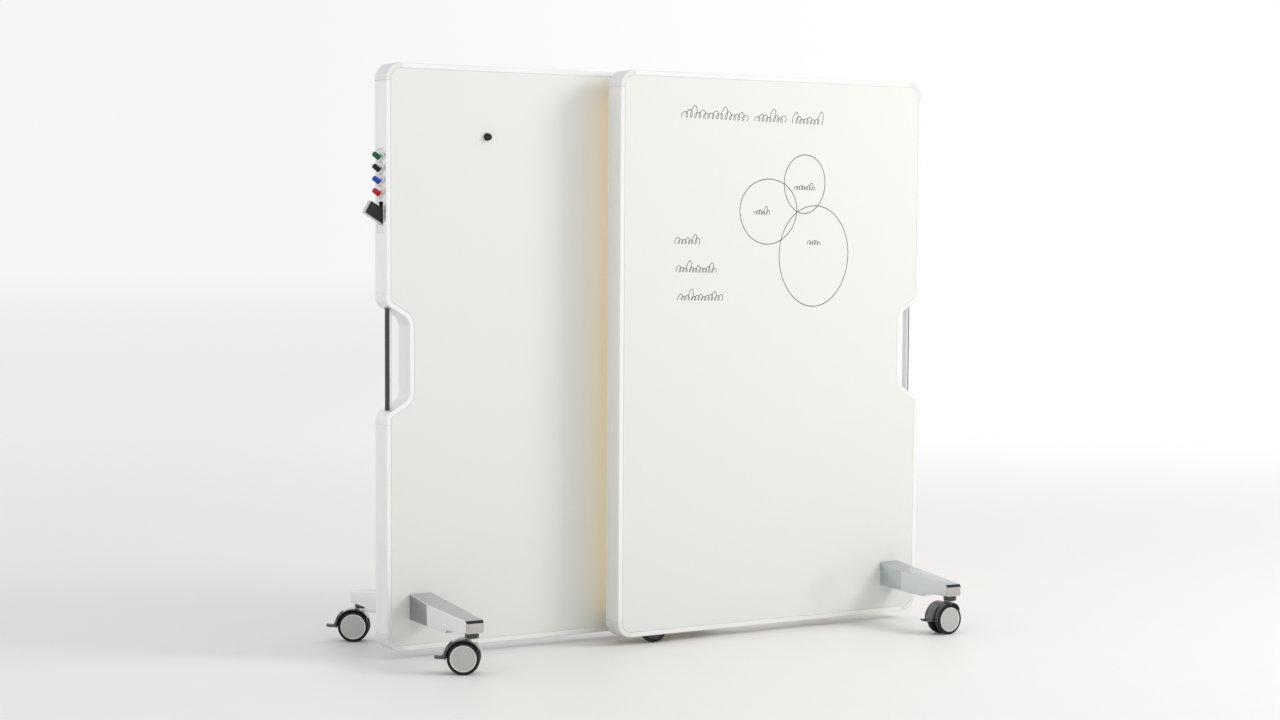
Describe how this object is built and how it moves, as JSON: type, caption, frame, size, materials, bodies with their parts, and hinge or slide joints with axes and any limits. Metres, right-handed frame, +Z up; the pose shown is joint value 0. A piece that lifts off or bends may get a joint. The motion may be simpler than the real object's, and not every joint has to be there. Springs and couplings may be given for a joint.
{
  "type": "expandable rolling glass whiteboard",
  "caption": "Rolling whiteboard of overlapping glass panels in rounded aluminium frames that slide apart, with notched grab bars, a marker dock, outrigger legs and braked twin-wheel casters.",
  "frame": {"origin": "on the floor, under the middle of the object's footprint box in the extended pose", "axes": "+X along the panels towards the front panel's outer side, -Y towards the people who face the front panel, +Z up"},
  "size_m": [2.0293, 0.972, 1.828],
  "materials": {
    "rail": "satin anodised",
    "corner": "polished casting",
    "glass": "back-painted white, gloss",
    "amber_glass": "back-painted amber, gloss",
    "core": "paper honeycomb",
    "leg": "satin casting with polished tip",
    "bar_metal": "satin",
    "grip": "soft matte",
    "hood": "gloss black",
    "wheel": "satin, with metal hub faces",
    "pedal": "semi-gloss",
    "guide": "mill finish",
    "shoe": "self-lubricating",
    "dock": "semi-gloss white",
    "marker_green": "gloss",
    "marker_black": "gloss",
    "marker_blue": "gloss",
    "marker_red": "gloss",
    "eraser": "silver grey",
    "felt": "wool felt",
    "magnet": "semi-gloss"
  },
  "bodies": {
    "rear_panel": {"rear_frame_top": "rail", "rear_frame_bottom": "rail", "rear_frame_inner_side": "rail", "rear_frame_outer_side_upper": "rail", "rear_frame_outer_side_lower": "rail", "rear_handle_cove": "rail", "rear_corner_top_inner": "corner", "rear_corner_top_outer": "corner", "rear_corner_bottom_inner": "corner", "rear_corner_bottom_outer": "corner", "rear_glass_front": "glass", "rear_glass_back": "glass", "rear_core_board": "core", "rear_handle_bar": "bar_metal", "rear_handle_grip": "grip", "rear_leg_front": "leg", "rear_leg_back": "leg", "marker_dock": "dock", "guide_shoe_upper": "shoe", "guide_shoe_lower": "shoe"},
    "front_panel": {"front_frame_top": "rail", "front_frame_bottom": "rail", "front_frame_inner_side": "rail", "front_frame_outer_side_upper": "rail", "front_frame_outer_side_lower": "rail", "front_handle_cove": "rail", "front_corner_top_inner": "corner", "front_corner_top_outer": "corner", "front_corner_bottom_inner": "corner", "front_corner_bottom_outer": "corner", "front_glass_front": "glass", "front_glass_back": "amber_glass", "front_core_board": "core", "front_handle_bar": "bar_metal", "front_handle_grip": "grip", "front_leg_front": "leg", "front_leg_back": "leg", "guide_rail_upper": "guide", "guide_rail_lower": "guide"},
    "left_front_swivel": {"left_front_caster_body": "hood"},
    "left_back_swivel": {"left_back_caster_body": "hood"},
    "right_front_swivel": {"right_front_caster_body": "hood"},
    "right_back_swivel": {"right_back_caster_body": "hood"},
    "left_front_wheels": {"left_front_caster_wheels": "wheel"},
    "left_back_wheels": {"left_back_caster_wheels": "wheel"},
    "right_front_wheels": {"right_front_caster_wheels": "wheel"},
    "right_back_wheels": {"right_back_caster_wheels": "wheel"},
    "left_front_pedal": {"left_front_brake_pedal": "pedal"},
    "left_back_pedal": {"left_back_brake_pedal": "pedal"},
    "right_front_pedal": {"right_front_brake_pedal": "pedal"},
    "right_back_pedal": {"right_back_brake_pedal": "pedal"},
    "rear_support": {"rear_support_wheel": "wheel"},
    "front_support": {"front_support_wheel": "wheel"},
    "green_marker": {"marker_green": "marker_green"},
    "black_marker": {"marker_black": "marker_black"},
    "blue_marker": {"marker_blue": "marker_blue"},
    "red_marker": {"marker_red": "marker_red"},
    "eraser": {"eraser_body": "eraser", "eraser_felt": "felt"},
    "magnet": {"round_magnet": "magnet"}
  },
  "joints": [
    {"name": "panel_slide", "type": "slide", "parent": "rear_panel", "child": "front_panel", "axis": [1, 0, 0], "range_m": [-0.58, 0.35]},
    {"name": "left_front_swivel_turn", "type": "hinge", "parent": "rear_panel", "child": "left_front_swivel", "pos_m": [-0.8325, -0.305, 0.12], "axis": [0, 0, 1], "continuous": true},
    {"name": "left_back_swivel_turn", "type": "hinge", "parent": "rear_panel", "child": "left_back_swivel", "pos_m": [-0.8325, 0.411, 0.12], "axis": [0, 0, 1], "continuous": true},
    {"name": "right_front_swivel_turn", "type": "hinge", "parent": "front_panel", "child": "right_front_swivel", "pos_m": [0.9045, -0.453, 0.12], "axis": [0, 0, 1], "continuous": true},
    {"name": "right_back_swivel_turn", "type": "hinge", "parent": "front_panel", "child": "right_back_swivel", "pos_m": [0.9045, 0.263, 0.12], "axis": [0, 0, 1], "continuous": true},
    {"name": "left_front_roll", "type": "hinge", "parent": "left_front_swivel", "child": "left_front_wheels", "pos_m": [-0.85249, -0.29172, 0.05], "axis": [-0.5534, -0.8329, 0], "continuous": true},
    {"name": "left_back_roll", "type": "hinge", "parent": "left_back_swivel", "child": "left_back_wheels", "pos_m": [-0.85249, 0.42428, 0.05], "axis": [-0.5534, -0.8329, 0], "continuous": true},
    {"name": "right_front_roll", "type": "hinge", "parent": "right_front_swivel", "child": "right_front_wheels", "pos_m": [0.8805, -0.453, 0.05], "axis": [0, -1, 0], "continuous": true},
    {"name": "right_back_roll", "type": "hinge", "parent": "right_back_swivel", "child": "right_back_wheels", "pos_m": [0.8805, 0.263, 0.05], "axis": [0, -1, 0], "continuous": true},
    {"name": "left_front_brake", "type": "hinge", "parent": "left_front_swivel", "child": "left_front_pedal", "pos_m": [-0.85249, -0.29172, 0.05], "axis": [-0.5534, -0.8329, 0], "range_deg": [0, 12]},
    {"name": "left_back_brake", "type": "hinge", "parent": "left_back_swivel", "child": "left_back_pedal", "pos_m": [-0.85249, 0.42428, 0.05], "axis": [-0.5534, -0.8329, 0], "range_deg": [0, 12]},
    {"name": "right_front_brake", "type": "hinge", "parent": "right_front_swivel", "child": "right_front_pedal", "pos_m": [0.8805, -0.453, 0.05], "axis": [0, -1, 0], "range_deg": [0, 12]},
    {"name": "right_back_brake", "type": "hinge", "parent": "right_back_swivel", "child": "right_back_pedal", "pos_m": [0.8805, 0.263, 0.05], "axis": [0, -1, 0], "range_deg": [0, 12]},
    {"name": "rear_support_roll", "type": "hinge", "parent": "rear_panel", "child": "rear_support", "pos_m": [0.111, 0.053, 0.05], "axis": [0, 1, 0], "continuous": true},
    {"name": "front_support_roll", "type": "hinge", "parent": "front_panel", "child": "front_support", "pos_m": [-0.039, -0.095, 0.05], "axis": [0, 1, 0], "continuous": true},
    {"name": "green_marker_draw", "type": "slide", "parent": "rear_panel", "child": "green_marker", "axis": [-0.8192, 0, 0.5736], "range_m": [0, 0.12]},
    {"name": "black_marker_draw", "type": "slide", "parent": "rear_panel", "child": "black_marker", "axis": [-0.8192, 0, 0.5736], "range_m": [0, 0.12]},
    {"name": "blue_marker_draw", "type": "slide", "parent": "rear_panel", "child": "blue_marker", "axis": [-0.8192, 0, 0.5736], "range_m": [0, 0.12]},
    {"name": "red_marker_draw", "type": "slide", "parent": "rear_panel", "child": "red_marker", "axis": [-0.8192, 0, 0.5736], "range_m": [0, 0.12]},
    {"name": "eraser_draw", "type": "slide", "parent": "rear_panel", "child": "eraser", "axis": [-0.8572, 0, 0.515], "range_m": [0, 0.11]},
    {"name": "magnet_pull", "type": "slide", "parent": "rear_panel", "child": "magnet", "axis": [0, -1, 0], "range_m": [0, 0.1]}
  ]
}
